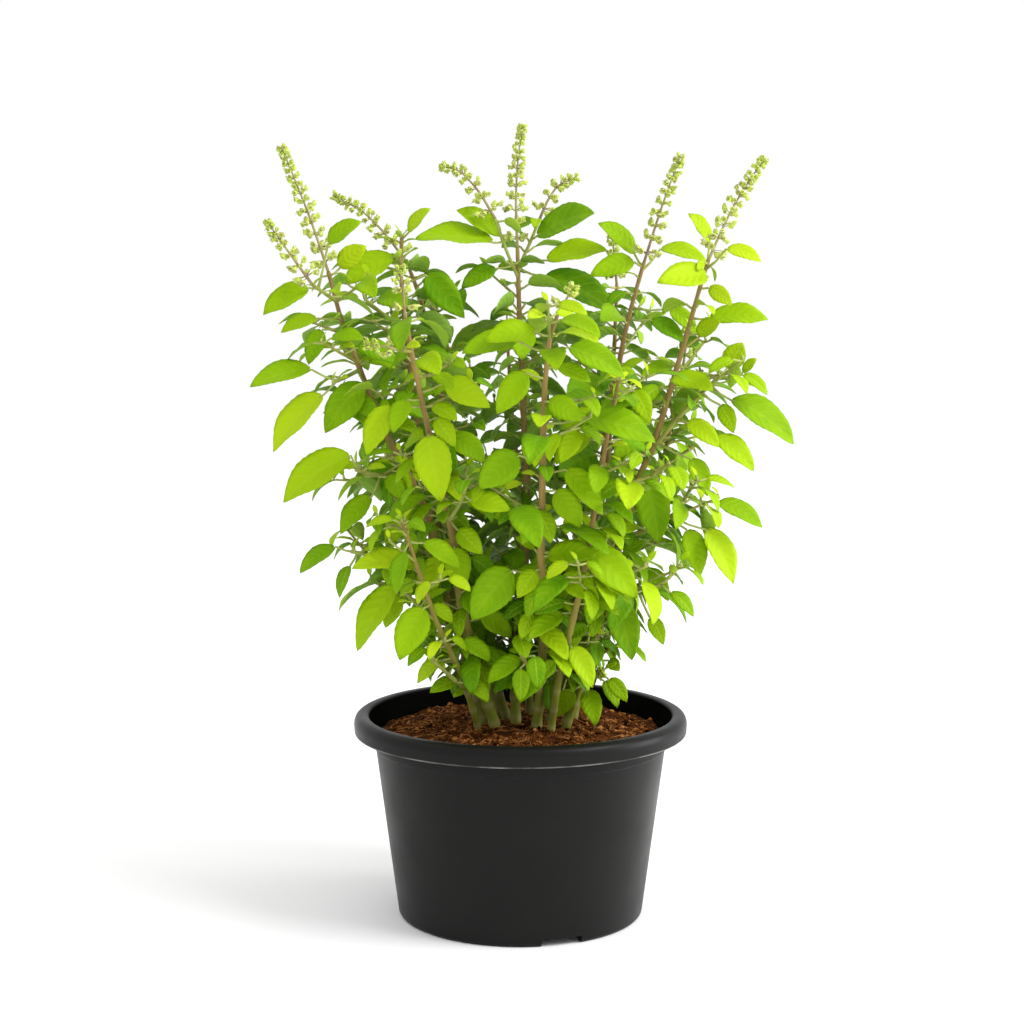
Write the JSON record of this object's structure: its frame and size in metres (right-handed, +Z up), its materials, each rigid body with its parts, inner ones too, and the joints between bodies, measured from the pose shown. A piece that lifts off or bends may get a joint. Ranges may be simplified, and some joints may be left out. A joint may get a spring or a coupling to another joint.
{
  "type": "potted herb plant",
  "caption": "Holy basil plant in a black plastic nursery pot: upright branching stems, toothed oval leaves, slender flower spikes and brown coco-peat soil.",
  "frame": {"origin": "centre of the pot's foot ring, on the surface that the pot stands on", "axes": "+Z up along the pot's axis, -Y towards the front of the plant, +X to the viewer's right"},
  "size_m": [0.1676, 0.1245, 0.2504],
  "materials": {
    "pot_plastic": "matte black moulded plastic with a soft sheen on the rim",
    "soil": "loose brown coco peat, matte and granular",
    "stem_and_leaf": "yellow-green leaves and green-brown stems, softly matte",
    "flower_spike": "pale green florets with purple-brown tips, matte"
  },
  "bodies": {
    "root": {"leafy_stem_01": "stem_and_leaf", "leafy_stem_02": "stem_and_leaf", "leafy_stem_03": "stem_and_leaf", "leafy_stem_04": "stem_and_leaf", "leafy_stem_05": "stem_and_leaf", "leafy_stem_06": "stem_and_leaf", "leafy_stem_07": "stem_and_leaf", "leafy_stem_08": "stem_and_leaf", "leafy_stem_09": "stem_and_leaf", "leafy_stem_10": "stem_and_leaf", "leafy_stem_11": "stem_and_leaf", "leafy_stem_12": "stem_and_leaf", "leafy_stem_13": "stem_and_leaf", "leafy_stem_14": "stem_and_leaf", "pot": "pot_plastic", "soil": "soil", "spike_back": "flower_spike", "spike_back_left": "flower_spike", "spike_back_right": "flower_spike", "spike_center": "flower_spike", "spike_center_left_side": "flower_spike", "spike_center_right_side": "flower_spike", "spike_far_back_right": "flower_spike", "spike_far_right": "flower_spike", "spike_front": "flower_spike", "spike_front_left": "flower_spike", "spike_front_left_side": "flower_spike", "spike_left": "flower_spike", "spike_left_side": "flower_spike", "spike_mid_left": "flower_spike", "spike_right": "flower_spike"}
  },
  "joints": []
}
